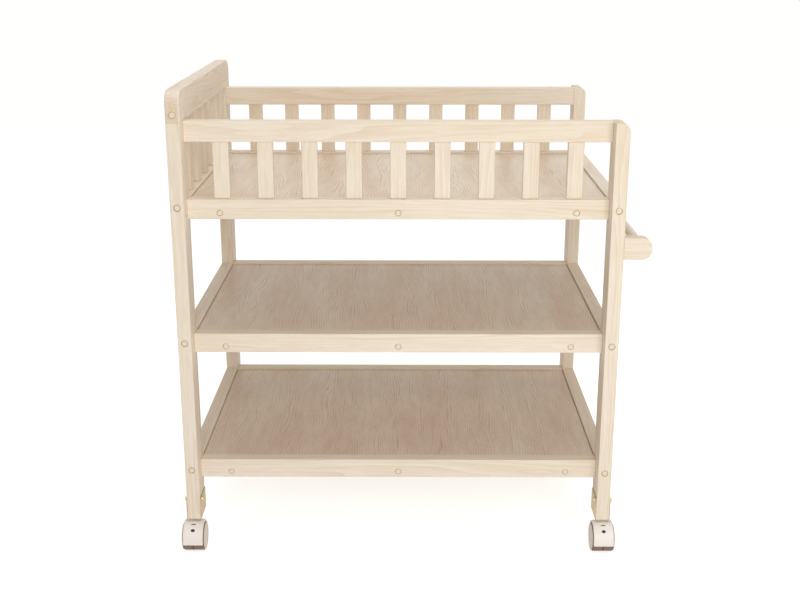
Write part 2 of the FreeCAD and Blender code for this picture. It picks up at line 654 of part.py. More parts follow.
def kingpin():
    """Riveted pin with a thrust flange above the hood and a groove for its clip."""
    head_top = LEG_FOOT + RIVET_HEAD_HEIGHT
    base = LEG_FOOT - BRACKET_GAUGE
    flange_foot = HOOD_TOP + SWIVEL_PLAY
    groove_top = clip_foot() + CLIP_GAUGE
    groove = KINGPIN_RADIUS - CLIP_GROOVE_DEPTH
    end = BOSS_FOOT + KINGPIN_END_ABOVE_BOSS
    return turned([(0, head_top), (RIVET_HEAD_RADIUS, head_top), (RIVET_HEAD_RADIUS, LEG_FOOT),
                   (KINGPIN_RADIUS, LEG_FOOT), (KINGPIN_RADIUS, base), (KINGPIN_FLANGE_RADIUS, base),
                   (KINGPIN_FLANGE_RADIUS, flange_foot), (KINGPIN_RADIUS, flange_foot),
                   (KINGPIN_RADIUS, groove_top), (groove, groove_top), (groove, clip_foot()),
                   (KINGPIN_RADIUS, clip_foot()), (KINGPIN_RADIUS, end), (0, end)])


def clip_foot():
    """Height of the underside of the clip that keeps the hood on its pin."""
    return BOSS_FOOT + CLIP_POCKET_DEPTH - SWIVEL_PLAY - CLIP_GAUGE


def clip():
    groove = KINGPIN_RADIUS - CLIP_GROOVE_DEPTH
    top = clip_foot() + CLIP_GAUGE
    return turned([(groove, clip_foot()), (CLIP_RADIUS, clip_foot()), (CLIP_RADIUS, top), (groove, top)])


def bracket_bolt(inward):
    """Domed bolt across the leg, its head on the inner side and its nut on the outer."""
    outer = POST_THICKNESS / 2 + BRACKET_GAUGE
    height = LEG_FOOT + BRACKET_BOLT_HEIGHT
    rise = BRACKET_BOLT_HEAD_HEIGHT - BRACKET_BOLT_HEAD_RIM
    dome = [(BRACKET_BOLT_HEAD_RADIUS * math.cos(math.radians(angle)),
             outer + BRACKET_BOLT_HEAD_RIM + rise * math.sin(math.radians(angle)))
            for angle in (70, 45, 20, 0)]
    shank_end = -outer - BRACKET_NUT_HEIGHT - BOLT_CLEARANCE
    profile = [(0, outer + BRACKET_BOLT_HEAD_HEIGHT)] + dome
    profile += [(BRACKET_BOLT_HEAD_RADIUS, outer), (BOLT_RADIUS, outer),
                (BOLT_RADIUS, shank_end), (0, shank_end)]
    bolt_shape = aimed(turned(profile), (0, -BRACKET_BOLT_FORWARD, height), X_AXIS * inward)
    corner = BRACKET_NUT_ACROSS_CORNERS / 2
    angles = [math.tau * i / BRACKET_NUT_SIDES for i in range(BRACKET_NUT_SIDES + 1)]
    ring = [V(corner * math.cos(angle), corner * math.sin(angle), 0) for angle in angles]
    hexagon = Part.Face(Part.makePolygon(ring)).extrude(Z_AXIS * BRACKET_NUT_HEIGHT)
    nut = hexagon.cut(Part.makeCylinder(BOLT_RADIUS + NUT_CLEARANCE, BRACKET_NUT_HEIGHT))
    nut = aimed(nut, (-inward * outer, -BRACKET_BOLT_FORWARD, height), X_AXIS * -inward)
    return [bolt_shape, nut]


# ---------------------------------------------------------------- caster hood and brake pedal
def on_arc(radius, angle):
    """Point of the side view on a circle about the axle; the angle rises from straight ahead."""
    return V(0, -CASTER_TRAIL - radius * math.cos(math.radians(angle)),
             AXLE_Z + radius * math.sin(math.radians(angle)))


def side_face(edges):
    """Face in the side view from edges that follow one another."""
    return Part.Face(Part.Wire(edges))


def widened(face, half_width):
    """Solid as wide as twice the half width, from a face of the side view."""
    return face.translated(V(-half_width, 0, 0)).extrude(X_AXIS * 2 * half_width)


def across(y, z, radius, half_width):
    """Cylinder that lies across the caster."""
    return rod((-half_width, y, z), X_AXIS, radius, 2 * half_width)


def polygon_face(points):
    return Part.Face(Part.makePolygon(points + points[:1]))


def outer_rims(shape, inner_radius):
    """Side edges of a curved shell that lie farther from the axle than its inner face."""
    rims = []
    for edge in shape.Edges:
        reach = [math.hypot(vertex.Y + CASTER_TRAIL, vertex.Z - AXLE_Z) for vertex in edge.Vertexes]
        if edge.BoundBox.XLength < HOOD_EDGE_RADIUS and min(reach) > inner_radius + HOOD_EDGE_RADIUS:
            rims.append(edge)
    return rims


def hood():
    """Moulded hood: arch over the wheels, kingpin tower, web with the axle boss, hinge knuckle."""
    front = HINGE_Y + KNUCKLE_RADIUS + KNUCKLE_SLOT_GAP
    arch = across(-CASTER_TRAIL, AXLE_Z, ARCH_RADIUS, HOOD_HALF_WIDTH)
    behind_hinge = block((0, front + ARCH_RADIUS, HOOD_SKIRT_HEIGHT + ARCH_RADIUS),
                         (4 * HOOD_HALF_WIDTH, 2 * ARCH_RADIUS, 2 * ARCH_RADIUS))
    arch = arch.common(behind_hinge)
    arch = arch.makeFillet(HOOD_EDGE_RADIUS, outer_rims(arch, HOOD_RADIUS))
    tower = rod((0, 0, TOWER_FOOT), Z_AXIS, TOWER_RADIUS, HOOD_TOP - TOWER_FOOT)
    knuckle_end = front + ARCH_THICKNESS / 2
    knuckle = block((0, (HINGE_Y + knuckle_end) / 2, HINGE_Z),
                    (2 * CENTRE_KNUCKLE_HALF_WIDTH, knuckle_end - HINGE_Y, 2 * KNUCKLE_RADIUS))
    knuckle = knuckle.fuse(across(HINGE_Y, HINGE_Z, KNUCKLE_RADIUS, CENTRE_KNUCKLE_HALF_WIDTH))
    wheel_room = across(-CASTER_TRAIL, AXLE_Z, HOOD_RADIUS, 2 * HOOD_HALF_WIDTH)
    body = arch.fuse([tower, knuckle]).cut(wheel_room)
    crown = [on_arc(HOOD_RADIUS + ARCH_THICKNESS / 2, angle) for angle in WEB_ANGLES]
    web_face = polygon_face([V(0, -CASTER_TRAIL - AXLE_BOSS_RADIUS, AXLE_Z)] + crown
                            + [V(0, -CASTER_TRAIL, AXLE_Z - AXLE_BOSS_RADIUS)])
    web = widened(web_face, WEB_HALF_THICKNESS)
    axle_boss = across(-CASTER_TRAIL, AXLE_Z, AXLE_BOSS_RADIUS, AXLE_BOSS_HALF_WIDTH)
    body = body.fuse([web, axle_boss]).removeSplitter()
    holes = [rod((0, 0, BOSS_FOOT), Z_AXIS, KINGPIN_RADIUS + SWIVEL_CLEARANCE, 2 * BOSS_LENGTH),
             rod((0, 0, CLIP_POCKET_FOOT), Z_AXIS, CLIP_POCKET_RADIUS,
                 BOSS_FOOT + CLIP_POCKET_DEPTH - CLIP_POCKET_FOOT),
             across(-CASTER_TRAIL, AXLE_Z, AXLE_RADIUS + AXLE_CLEARANCE, HOOD_HALF_WIDTH),
             across(HINGE_Y, HINGE_Z, HINGE_RADIUS + HINGE_CLEARANCE, HOOD_HALF_WIDTH)]
    return body.cut(holes)


def brake_pedal():
    """Curved pedal that covers the front of the treads and hinges at the front of the arch."""
    top_angle = 90 + math.degrees(math.asin(HINGE_BEHIND_AXLE / HINGE_REACH))
    middle = (top_angle + PEDAL_FOOT_ANGLE) / 2
    lip_tip = on_arc(PEDAL_TIP, PEDAL_FOOT_ANGLE)
    lip_start = on_arc(PEDAL_OUTER, PEDAL_LIP_START_ANGLE)
    outer_top = on_arc(PEDAL_OUTER, top_angle)
    inner_top = on_arc(PEDAL_INNER, top_angle)
    inner_foot = on_arc(PEDAL_INNER, PEDAL_FOOT_ANGLE)
    face = side_face([Part.Arc(outer_top, on_arc(PEDAL_OUTER, middle), lip_start).toShape(),
                      Part.LineSegment(lip_start, lip_tip).toShape(),
                      Part.LineSegment(lip_tip, inner_foot).toShape(),
                      Part.Arc(inner_foot, on_arc(PEDAL_INNER, middle), inner_top).toShape(),
                      Part.LineSegment(inner_top, outer_top).toShape()])
    plate = widened(face, HOOD_HALF_WIDTH)
    plate = plate.makeFillet(HOOD_EDGE_RADIUS, outer_rims(plate, PEDAL_INNER))
    pedal = plate.fuse(across(HINGE_Y, HINGE_Z, KNUCKLE_RADIUS, HOOD_HALF_WIDTH)).removeSplitter()
    slot = across(HINGE_Y, HINGE_Z, KNUCKLE_RADIUS + KNUCKLE_SLOT_GAP,
                  CENTRE_KNUCKLE_HALF_WIDTH + KNUCKLE_SIDE_PLAY)
    pin_hole = across(HINGE_Y, HINGE_Z, HINGE_RADIUS + HINGE_CLEARANCE, HOOD_HALF_WIDTH)
    return pedal.cut([slot, pin_hole])


def caster_pins():
    """The wheels' axle and the pedal's hinge pin."""
    return [across(-CASTER_TRAIL, AXLE_Z, AXLE_RADIUS, DISC_BACK - SIDE_PLAY),
            across(HINGE_Y, HINGE_Z, HINGE_RADIUS, HINGE_PIN_HALF_LENGTH)]


# ---------------------------------------------------------------- caster wheels
def wheel_outward(profile, sign):
    """Turn a profile of (radius, distance from the axle's middle) about the axle."""
    return aimed(turned(profile), (0, -CASTER_TRAIL, AXLE_Z), X_AXIS * sign)


def wheel(sign):
    """Moulded wheel, open towards the web: domed disc, rim and a hub blind at its outer end."""
    rim_outer = WHEEL_RADIUS - TREAD_THICKNESS
    rim_inner = rim_outer - RIM_THICKNESS
    hub_face = AXLE_BOSS_HALF_WIDTH + SIDE_PLAY
    bore = AXLE_RADIUS + AXLE_CLEARANCE
    profile = [(0, WHEEL_HALF_WIDTH), (DISC_FLAT_RADIUS, WHEEL_HALF_WIDTH - DISC_FLAT_DROP)]
    profile += [(DISC_RADIUS, DISC_EDGE), (DISC_RADIUS, DISC_EDGE - DISC_LIP)]
    profile += [(rim_outer, DISC_BACK), (rim_outer, WHEEL_INNER_FACE)]
    profile += [(rim_inner, WHEEL_INNER_FACE), (rim_inner, DISC_BACK)]
    profile += [(HUB_RADIUS, DISC_BACK), (HUB_RADIUS, hub_face)]
    profile += [(bore, hub_face), (bore, DISC_BACK), (0, DISC_BACK)]
    return wheel_outward(profile, sign)


def tread(sign):
    """Soft tyre on the wheel's rim, chamfered towards the disc."""
    inner = WHEEL_RADIUS - TREAD_THICKNESS
    side = DISC_EDGE - DISC_LIP - 2 * TREAD_DISC_GAP
    profile = [(inner, WHEEL_INNER_FACE), (WHEEL_RADIUS, WHEEL_INNER_FACE)]
    profile += [(WHEEL_RADIUS, TREAD_SHOULDER), (WHEEL_RADIUS - TREAD_CHAMFER_RISE, side)]
    profile += [(inner, DISC_BACK)]
    return wheel_outward(profile, sign)


# ---------------------------------------------------------------- export
os.makedirs("parts", exist_ok=True)

for side, end in CORNERS:
    save("post_" + side + "_" + end, [post(side, end)])
save("header_board", [header_board()])
save("end_slats", end_slats())
for side in SIDES:
    node = side + "_guard_rail"
    save(node, [long_rail(node, side, GUARD_TOP, GUARD_RAIL_HEIGHT, GUARD_BOTTOM)])
    save(side + "_guard_slats", long_slats(side))
    for level in SHELF_LEVELS:
        node = side + "_rail_" + level
        face = UPPER_TOP if level == "upper" else None
        save(node, [long_rail(node, side, SHELF_TOPS[level], RAIL_HEIGHT, face)])
for end in ENDS:
    save("side_rails_" + end, side_rails(end))
for level in SHELF_LEVELS:
    save("shelf_panel_" + level, [shelf_panel(level)])
save("shelf_battens", shelf_battens())
save("towel_arms", [towel_arm(side) for side in SIDES])
save("towel_bar", [towel_bar(0)])

save("frame_bolts", [bolt(joint) for joint in JOINTS] + [header_stud(side) for side in SIDES])
save("barrel_nuts", [barrel_nut(joint) for joint in JOINTS] + [cam(side) for side in SIDES])
save("cover_caps", [cap(joint["start"], joint["direction"]) for joint in JOINTS]
     + [cap(cam_start(side), Y_AXIS * -SIDES[side]) for side in SIDES]
     + [screw_plug(*place) for place in SCREW_PLACES])
save("shelf_screws", [shelf_screw(*place) for place in SCREW_PLACES])
all_dowels = [dowel(joint) for joint in JOINTS if joint["dowel"]]
all_dowels += [header_dowel(side) for side in SIDES]
for side in SIDES:
    all_dowels += arm_dowels(side, 0)
save("dowels", all_dowels)

brackets = []
pins = []
bracket_bolts = []
for side, end in CORNERS:
    place = leg_place(side, end)
    brackets.append(caster_bracket().translated(place))
    pins += [kingpin().translated(place), clip().translated(place)]
    bracket_bolts += [shape.translated(place) for shape in bracket_bolt(-ENDS[end])]
    prefix = side + "_" + end + "_"
    save(prefix + "hood", [hood().translated(place)])
    save(prefix + "caster_pins", [shape.translated(place) for shape in caster_pins()])
    save(prefix + "brake_pedal", [brake_pedal().translated(place)])
    for wheel_end, sign in ENDS.items():
        save(prefix + "wheel_" + wheel_end, [wheel(sign).translated(place)])
        save(prefix + "tread_" + wheel_end, [tread(sign).translated(place)])
save("caster_brackets", brackets)
save("kingpins", pins)
save("caster_bolts", bracket_bolts)
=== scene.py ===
# %% [markdown]
# # A changing dresser on casters
#
# This lesson dresses an open wooden changing table: four posts, three shelves, slatted
# guards, a header board, a towel rail and four braked twin-wheel casters. The shapes come
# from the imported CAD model, so this script gives them their wood, plastic and metal. It
# adds one thing that is easier to make here: the printed marks on the caster hoods.
#
# Everything is in metres, with Z up and the floor at Z = 0. Sizes that a maker would give
# in millimetres are multiplied by MM.

# %% Load the frame
import math

import bmesh
import bpy
from mathutils import Matrix, Vector
from mathutils.bvhtree import BVHTree


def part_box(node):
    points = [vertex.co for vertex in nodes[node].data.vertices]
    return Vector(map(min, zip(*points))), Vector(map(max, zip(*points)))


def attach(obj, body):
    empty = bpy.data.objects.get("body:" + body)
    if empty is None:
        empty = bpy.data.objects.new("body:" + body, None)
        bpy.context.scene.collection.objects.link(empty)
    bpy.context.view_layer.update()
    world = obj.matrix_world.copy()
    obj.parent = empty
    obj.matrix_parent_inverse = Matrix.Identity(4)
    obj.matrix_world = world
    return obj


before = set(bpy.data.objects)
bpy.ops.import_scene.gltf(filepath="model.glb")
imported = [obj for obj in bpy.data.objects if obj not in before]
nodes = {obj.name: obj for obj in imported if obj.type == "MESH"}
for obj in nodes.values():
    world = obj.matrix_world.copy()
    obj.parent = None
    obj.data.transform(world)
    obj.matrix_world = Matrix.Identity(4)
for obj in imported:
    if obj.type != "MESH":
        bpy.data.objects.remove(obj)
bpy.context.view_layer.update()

MM = 0.001

# %% [markdown]
# ## Camera
#
# The photograph is taken from the middle of the front, a quarter of a metre above the
# header, looking down by about 17 degrees with a lens slightly longer than normal. One
# could turn an empty by hand until the picture fits. Here the place and the angles were
# solved from the straight edges of the rails and posts, so they are simply written down.

# %% Place the camera
SENSOR_WIDTH = 36                    # millimetres, as the focal length is
FOCAL_LENGTH = 52.78
CAMERA_PLACE = (-0.0058, -2.5773, 1.2430)
CAMERA_TILT = 73.2                   # degrees, where 90 looks level
CAMERA_TURN = 0.33                   # degrees to the left

camera_data = bpy.data.cameras.new("camera")
camera_data.sensor_width = SENSOR_WIDTH
camera_data.lens = FOCAL_LENGTH
camera = bpy.data.objects.new("camera", camera_data)
camera.location = CAMERA_PLACE
camera.rotation_euler = (math.radians(CAMERA_TILT), 0, math.radians(CAMERA_TURN))
bpy.context.scene.collection.objects.link(camera)
bpy.context.scene.camera = camera
print("camera", round(camera.location.length, 2), "m from the origin")

# %% [markdown]
# ## A helper for node materials
#
# Every finish below is a small tree of nodes. Adding a node, setting its menu entries and
# wiring its sockets takes the same three steps each time, so one function does them. A
# value that is itself a socket is linked, and any other value is written into the input.
#
# Colours are written as the sRGB hex values that one reads off a screen, and turned into
# the linear values that the renderer works with. A texture's scale is how often it repeats
# in a metre, so it is worked out from a size in millimetres.

# %% Define the material helpers
# The Mix node's colour sockets share their names with others, so they go by number.
MIX_FACTOR, MIX_A, MIX_B, MIX_RESULT = 0, 6, 7, 2


def add(tree, kind, inputs, **settings):
    node = tree.nodes.new(kind)
    for name, value in settings.items():
        setattr(node, name, value)
    for name, value in inputs.items():
        if isinstance(value, bpy.types.NodeSocket):
            tree.links.new(value, node.inputs[name])
        else:
            node.inputs[name].default_value = value
    return node


def colour(hex_value):
    parts = [int(hex_value[i:i + 2], 16) / 255 for i in (0, 2, 4)]
    linear = [p / 12.92 if p <= 0.04045 else ((p + 0.055) / 1.055) ** 2.4 for p in parts]
    return (*linear, 1)


def empty_tree(name):
    material = bpy.data.materials.new(name)
    material.use_nodes = True
    material.node_tree.nodes.clear()
    return material, material.node_tree


def per_metre(size_mm):
    return 1000 / size_mm


def surface(tree, shader):
    add(tree, "ShaderNodeOutputMaterial", {"Surface": shader.outputs[0]})


print("cream", [round(c, 3) for c in colour("ece0cc")[:3]])

# %% [markdown]
# ## Wood
#
# Sawn wood shows three things at once. Growth rings cross the face as lines where the saw
# met them upright and as tall arches where it met them flat. Fine fibres run along the
# board. And the whole board drifts slowly between a lighter and a warmer tone.
#
# All three are made in space rather than painted on a face, so that they pass round every
# edge as they do in a real board. The noise in them is stretched along the grain by
# shrinking that axis before the texture reads it.
#
# Each wood is a table of its looks. Its three colours are the light and the warm ground and
# the darker summer wood. The ring's width, the figure that bends the rings, the drift, the
# fibre and the relief are sizes in millimetres. The rings wander by so many of their own
# widths, and the grain stretches everything by so many times.

# %% [markdown]
# ### Growth rings
#
# The rings are a Wave texture, shaken by noise. In solid timber its waves are concentric
# cylinders about the grain's axis, and in a thin face sheet they are upright bands, side by
# side. A saw-shaped wave gives each ring its soft spring side and its abrupt, darker summer
# edge.
#
# Real years differ: a dry summer leaves a faint line and a wet one a strong line. A second
# stretched noise, a few rings wide, sets how dark each line is, so that the lines come in
# groups and never look like a comb. Noise keeps mostly between 0.3 and 0.7, so that part of
# it is spread over all strengths.

# %% Define the growth rings
WAVE_PERIOD = math.tau / 20          # the Wave texture's ring spacing at a scale of 1
YEARS_IN_GROUP = 2.5
FAINTEST_LINE = 0.15                 # against the strongest one


def summer_lines(tree, along, grain, look):
    ring_scale = WAVE_PERIOD * per_metre(look["ring"])
    rings = add(tree, "ShaderNodeTexWave",
                {"Vector": along, "Scale": ring_scale,
                 "Distortion": look["wander"] * math.tau,
                 "Detail": 2.0, "Detail Roughness": 0.5,
                 "Detail Scale": per_metre(look["figure"]) / ring_scale},
                wave_type=look["cut"], rings_direction=grain, bands_direction="X",
                wave_profile="SAW")
    years = add(tree, "ShaderNodeTexNoise",
                {"Vector": along, "Scale": per_metre(look["ring"] * YEARS_IN_GROUP),
                 "Detail": 1.0})
    strength = add(tree, "ShaderNodeMapRange",
                   {"Value": years.outputs["Fac"], "From Min": 0.3, "From Max": 0.7,
                    "To Min": look["contrast"] * FAINTEST_LINE,
                    "To Max": look["contrast"]})
    return add(tree, "ShaderNodeMapRange",
               {"Value": rings.outputs["Fac"], "From Min": 0.2, "From Max": 1.0,
                "To Max": strength.outputs[0]},
               interpolation_type="SMOOTHSTEP").outputs[0]


print("a ring is", round(WAVE_PERIOD, 3), "wide at a scale of 1")

# %% [markdown]
# ### Tone of the faces and ends
#
# The drift sets the ground, the summer lines lie on it, and short dark fibres lie over
# both. End grain drinks more lacquer than the sides and is darker. A second material on
# each end would do, but needs its faces to be picked out. Here the faces that look along
# the grain are found with the object's own normals, so one material serves a whole board.

# %% Define the board's colours
END_GRAIN = 0.35                     # how far an end takes on the summer wood's colour


def face_colour(tree, along, lines, fibres, look):
    drift = add(tree, "ShaderNodeTexNoise",
                {"Vector": along, "Scale": per_metre(look["drift"]), "Detail": 2.0})
    tone = add(tree, "ShaderNodeMapRange",
               {"Value": drift.outputs["Fac"], "From Min": 0.35, "From Max": 0.65})
    ground = add(tree, "ShaderNodeMix",
                 {MIX_FACTOR: tone.outputs[0], MIX_A: colour(look["light"]),
                  MIX_B: colour(look["warm"])}, data_type="RGBA")
    ringed = add(tree, "ShaderNodeMix",
                 {MIX_FACTOR: lines, MIX_A: ground.outputs[MIX_RESULT],
                  MIX_B: colour(look["summer"])}, data_type="RGBA")
    streak = add(tree, "ShaderNodeMapRange",
                 {"Value": fibres, "From Min": 0.42, "From Max": 0.72,
                  "To Max": look["streak"]})
    return add(tree, "ShaderNodeMix",
               {MIX_FACTOR: streak.outputs[0], MIX_A: ringed.outputs[MIX_RESULT],
                MIX_B: colour(look["summer"])}, data_type="RGBA").outputs[MIX_RESULT]


def with_dark_ends(tree, face, normal, grain, look):
    facing = add(tree, "ShaderNodeSeparateXYZ", {"Vector": normal})
    cut = add(tree, "ShaderNodeMath", {0: facing.outputs[grain]}, operation="ABSOLUTE")
    end = add(tree, "ShaderNodeMapRange",
              {"Value": cut.outputs[0], "From Min": 0.8, "From Max": 1.0,
               "To Max": END_GRAIN})
    return add(tree, "ShaderNodeMix",
               {MIX_FACTOR: end.outputs[0], MIX_A: face, MIX_B: colour(look["summer"])},
               data_type="RGBA").outputs[MIX_RESULT]


print("end grain goes", END_GRAIN, "of the way to summer wood")

# %% [markdown]
# ### Surface of the wood
#
# Sanded wood keeps its fibres a little proud, and a thin lacquer doesn't drown them. They
# show as a slight change of gloss and as a relief of a tenth of a millimetre at most. Both
# are read from the same noise as the fibres' colour, so that the three agree.

# %% Define the wood finish
AXES = ("X", "Y", "Z")
GLOSS_CHANGE = 0.08                  # in roughness, up and down
FIBRE_RELIEF = 0.25                  # the share of the relief that the bump shows
WOOD_IOR = 1.45


def wood(name, grain, look):
    material, tree = empty_tree(name)
    place = add(tree, "ShaderNodeTexCoord", {})
    stretch = [1 / look["stretch"] if axis == grain else 1 for axis in AXES]
    along = add(tree, "ShaderNodeMapping", {"Vector": place.outputs["Object"],
                                            "Scale": stretch}).outputs[0]
    fibres = add(tree, "ShaderNodeTexNoise",
                 {"Vector": along, "Scale": per_metre(look["fibre"]), "Detail": 3.0,
                  "Roughness": 0.65}).outputs["Fac"]
    lines = summer_lines(tree, along, grain, look)
    face = face_colour(tree, along, lines, fibres, look)
    board = with_dark_ends(tree, face, place.outputs["Normal"], grain, look)
    sheen = add(tree, "ShaderNodeMapRange",
                {"Value": fibres, "To Min": look["rough"] - GLOSS_CHANGE,
                 "To Max": look["rough"] + GLOSS_CHANGE})
    relief = add(tree, "ShaderNodeBump",
                 {"Height": fibres, "Strength": FIBRE_RELIEF,
                  "Distance": look["relief"] * MM})
    shader = add(tree, "ShaderNodeBsdfPrincipled",
                 {"Base Color": board, "Roughness": sheen.outputs[0], "IOR": WOOD_IOR,
                  "Normal": relief.outputs[0]})
    surface(tree, shader)
    return material


print("gloss changes by", GLOSS_CHANGE, "with the fibres")

# %% [markdown]
# ### Lacquered pine
#
# Posts, rails, slats and the header are knot-free pine under a clear matt lacquer. It
# gives the eye a cream ground, quiet honey-coloured lines and a slight satin. Real rings
# are 2 to 3 mm apart, hardly more than a pixel of the picture, so they are drawn 9 mm
# apart. Three copies of the finish differ only in the axis that the grain follows.

# %% Make the pine
PINE = {"light": "f0e5d5", "warm": "ecdfca", "summer": "c9a67a", "contrast": 0.28,
        "cut": "RINGS", "ring": 9, "wander": 5, "figure": 50, "stretch": 14,
        "drift": 60, "fibre": 3, "streak": 0.17, "rough": 0.52, "relief": 0.1}
pine = {axis: wood("lacquered_pine_" + axis.lower(), axis, PINE) for axis in AXES}
print("pine rings", PINE["ring"], "mm apart")

# %% [markdown]
# ### Wood-grain shelf board
#
# The shelves are boards with an ash-like face: greyer and pinker than the pine, with
# tall irregular arches that run from front to back and short dark pores between them.
# The same wood recipe makes it. Its rings are upright bands, closer together and darker,
# and it is stretched less than half as far, so that the arches close within the depth of
# the shelf.

# %% Make the shelf board
ASH = {"light": "efe2cf", "warm": "e7d3bc", "summer": "9f7c5a", "contrast": 0.46,
       "cut": "BANDS", "ring": 5, "wander": 5, "figure": 60, "stretch": 6,
       "drift": 80, "fibre": 2, "streak": 0.2, "rough": 0.4, "relief": 0.05}
shelf_board = wood("ash_faced_board", "Y", ASH)
print("board rings", ASH["ring"], "mm apart")

# %% [markdown]
# ### Raw beech
#
# The dowels are turned from beech, a pinkish wood so even that only its short flecks show.
# They are inside the joints, so they could be left grey, but they show when the frame is taken
# apart.

# %% Make the beech
BEECH = {"light": "dcc09c", "warm": "d3b38c", "summer": "b58a63", "contrast": 0.2,
         "cut": "RINGS", "ring": 5, "wander": 1, "figure": 60, "stretch": 10,
         "drift": 80, "fibre": 1.2, "streak": 0.35, "rough": 0.6, "relief": 0.1}
beech = wood("raw_beech", "X", BEECH)
print("beech rings", BEECH["ring"], "mm apart")

# %% [markdown]
# ## Moulded plastic
#
# Cover caps, caster hoods and wheels are injection-moulded. A steel mould is etched with a
# fine pattern, which breaks up the shine into a soft gleam, and the plastic's tone drifts
# a little where it flowed. One function makes all of them from two tones, a roughness, and
# the width and depth of the etched grain in millimetres.

# %% Define the plastic finish
FLOW_SIZE = 25                       # millimetres from lighter to darker plastic
ETCH_GLEAM = 0.06                    # in roughness, up and down
ETCH_RELIEF = 0.3                    # the share of the depth that the bump shows
PLASTIC_IOR = 1.5


def moulded(name, face, shade, rough, etch, depth):
    material, tree = empty_tree(name)
    place = add(tree, "ShaderNodeTexCoord", {}).outputs["Object"]
    flow = add(tree, "ShaderNodeTexNoise",
               {"Vector": place, "Scale": per_metre(FLOW_SIZE), "Detail": 2.0})
    grain = add(tree, "ShaderNodeTexNoise",
                {"Vector": place, "Scale": per_metre(etch), "Detail": 1.0})
    tone = add(tree, "ShaderNodeMix",
               {MIX_FACTOR: flow.outputs["Fac"], MIX_A: colour(face),
                MIX_B: colour(shade)}, data_type="RGBA")
    gleam = add(tree, "ShaderNodeMapRange",
                {"Value": grain.outputs["Fac"], "To Min": rough - ETCH_GLEAM,
                 "To Max": rough + ETCH_GLEAM})
    relief = add(tree, "ShaderNodeBump",
                 {"Height": grain.outputs["Fac"], "Strength": ETCH_RELIEF,
                  "Distance": depth * MM})
    shader = add(tree, "ShaderNodeBsdfPrincipled",
                 {"Base Color": tone.outputs[MIX_RESULT], "Roughness": gleam.outputs[0],
                  "IOR": PLASTIC_IOR, "Normal": relief.outputs[0]})
    surface(tree, shader)
    return material


print("plastic drifts in tone within", FLOW_SIZE, "mm")

# %% [markdown]
# ### Caps, hoods, wheels and ink
#
# The cover caps are ivory polyethylene, coloured to vanish in the pine. The hoods are cream
# polyamide with a matt etched face. The wheels' discs are the same plastic in beige, and
# their treads are brown thermoplastic rubber, duller and softer than either. The two small
# marks on each hood are printed with a dark grey ink.

# %% Make the plastics
cap_ivory = moulded("ivory_polyethylene", "eadcc4", "e5d5ba", rough=0.42, etch=0.5, depth=0.02)
hood_cream = moulded("cream_polyamide", "f6f1ea", "f1ebe3", rough=0.48, etch=0.6, depth=0.04)
disc_beige = moulded("beige_polyamide", "eadfd2", "e2d5c7", rough=0.45, etch=0.6, depth=0.04)
tread_brown = moulded("brown_rubber", "8a7462", "7e6957", rough=0.62, etch=0.8, depth=0.05)
mark_ink = moulded("dark_grey_ink", "2c2723", "24201d", rough=0.55, etch=0.3, depth=0.01)
print("five plastics, etched 0.3 to 0.8 mm")

# %% [markdown]
# ## Plated steel
#
# The brackets round the feet of the legs are pressed from thin steel and plated a warm
# yellowish tone, and the bolts have a paler, brass-like plating. Rolling leaves faint lines
# in the sheet, so the roughness is read from noise that is stretched in one direction, and
# the plating is a little uneven in tone.

# %% Define and make the metals
ROLLED = (1, 1, 0.08)                # shrinks the height, so that the lines stand upright
BATH_SIZE = 14                       # millimetres from lighter to darker plating
ROLL_GLEAM = 0.1                     # in roughness, up and down


def plated(name, face, shade, rough, line):
    material, tree = empty_tree(name)
    place = add(tree, "ShaderNodeTexCoord", {}).outputs["Object"]
    rolled = add(tree, "ShaderNodeMapping", {"Vector": place, "Scale": ROLLED})
    lines = add(tree, "ShaderNodeTexNoise",
                {"Vector": rolled.outputs[0], "Scale": per_metre(line), "Detail": 3.0})
    bath = add(tree, "ShaderNodeTexNoise",
               {"Vector": place, "Scale": per_metre(BATH_SIZE), "Detail": 2.0})
    tone = add(tree, "ShaderNodeMix",
               {MIX_FACTOR: bath.outputs["Fac"], MIX_A: colour(face),
                MIX_B: colour(shade)}, data_type="RGBA")
    gleam = add(tree, "ShaderNodeMapRange",
                {"Value": lines.outputs["Fac"], "To Min": rough - ROLL_GLEAM,
                 "To Max": rough + ROLL_GLEAM})
    shader = add(tree, "ShaderNodeBsdfPrincipled",
                 {"Base Color": tone.outputs[MIX_RESULT], "Metallic": 1.0,
                  "Roughness": gleam.outputs[0]})
    surface(tree, shader)
    return material


zinc = plated("yellow_zinc_steel", "c4b293", "b5a07e", rough=0.42, line=1.5)
brass = plated("brass_plated_steel", "d8c6a2", "cab388", rough=0.34, line=1.0)
print("zinc and brass plating")

# %% [markdown]
# ## Dress the CAD nodes
#
# Each node keeps its mesh and gets its finish through its material slots. For the wood,
# the grain has to follow the length of each board: along X in the long rails and the towel
# bar's arms, along Y in the side rails, the battens, the header and the towel bar, and
# along Z in the posts and slats. A piece's name tells which it is, by the first word of the
# table that it holds.

# %% Assign the finishes
GRAIN = {"post": "Z", "slats": "Z", "header": "Y", "side": "Y", "rail": "X",
         "arms": "X", "bar": "Y", "battens": "Y"}
FINISH = {"shelf_board": shelf_board, "beech": beech, "cap_plastic": cap_ivory,
          "zinc_steel": zinc, "brass": brass, "hood_plastic": hood_cream,
          "wheel_plastic": disc_beige, "tread_rubber": tread_brown}


def grain_of(name):
    return next(axis for word, axis in GRAIN.items() if word in name)


for name, node in nodes.items():
    cad_slot = node.material_slots[0].material.name.split(".")[0]
    finish = pine[grain_of(name)] if cad_slot == "pine" else FINISH[cad_slot]
    for holder in node.material_slots:
        holder.material = finish
print("dressed", len(nodes), "nodes")

